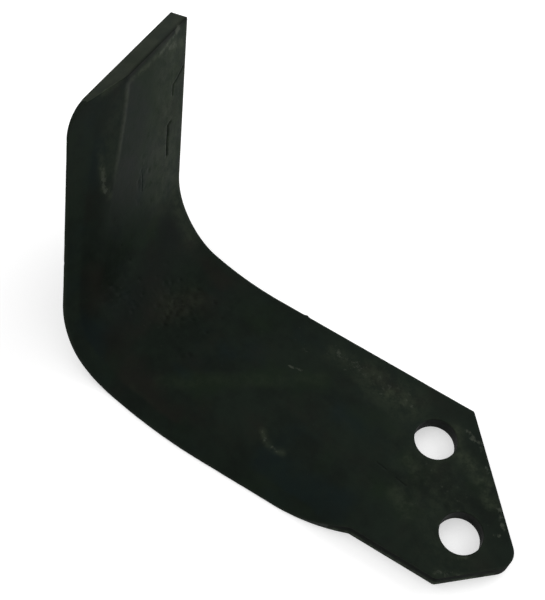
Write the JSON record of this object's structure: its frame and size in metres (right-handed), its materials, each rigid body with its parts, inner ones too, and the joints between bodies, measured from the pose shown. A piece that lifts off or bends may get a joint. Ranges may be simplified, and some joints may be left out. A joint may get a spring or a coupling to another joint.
{
  "type": "rotary tiller blade",
  "caption": "Forged L-shaped rotary tiller blade with a bolted shank, a curved wedge edge and a slanted wing end",
  "frame": {"origin": "midway between the two bolt holes, on the back face of the clamped end", "axes": "+Z from the back face towards the hollow side of the bend, so the wing rises along +Z; the two bolt holes lie along Y, and the bar leaves the holes towards -X and +Y"},
  "size_m": [0.1597, 0.2148, 0.1022],
  "materials": {
    "blackened_steel": "thin black coat and forge scale over hot-forged steel, satin, with small scuffs and pits"
  },
  "bodies": {
    "root": {"blade": "blackened_steel"}
  },
  "joints": []
}
